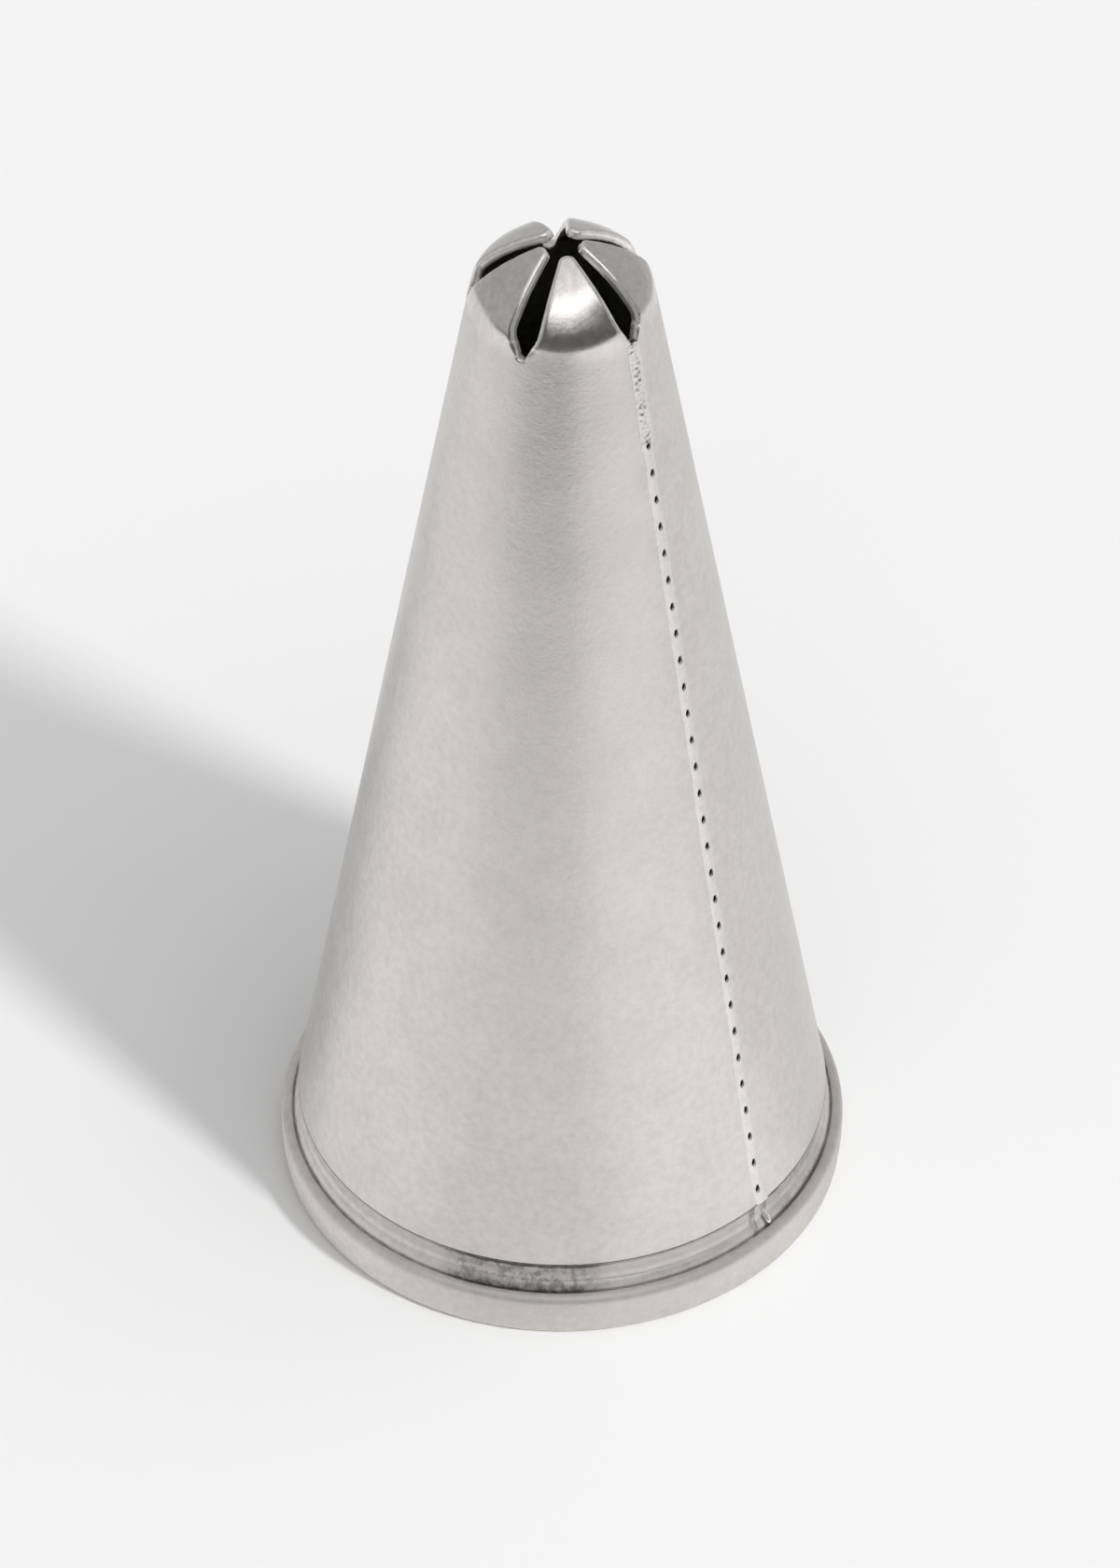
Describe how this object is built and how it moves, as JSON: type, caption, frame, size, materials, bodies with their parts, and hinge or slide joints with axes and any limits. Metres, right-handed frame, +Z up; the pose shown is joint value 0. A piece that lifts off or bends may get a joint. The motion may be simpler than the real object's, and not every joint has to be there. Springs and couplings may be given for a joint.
{
  "type": "piping nozzle",
  "caption": "Small conical piping nozzle of satin stainless sheet, with a closed star mouth of inward-bent petals, a stitch-welded seam and a folded rim.",
  "frame": {"origin": "centre of the rim's foot, on the surface that the nozzle stands on", "axes": "+Z up the nozzle's axis from the rim to the mouth, the welded seam on -Y"},
  "size_m": [0.018, 0.018, 0.0397],
  "materials": {
    "satin_sheet": "satin stainless sheet with a fine tumbled grain",
    "weld_metal": "bright stitch weld"
  },
  "bodies": {
    "root": {"cone_wall": "satin_sheet", "rim_hem": "satin_sheet", "petal_1": "satin_sheet", "petal_2": "satin_sheet", "petal_3": "satin_sheet", "petal_4": "satin_sheet", "petal_5": "satin_sheet", "seam_weld": "weld_metal", "mouth_weld": "weld_metal", "rim_weld": "weld_metal"}
  },
  "joints": []
}
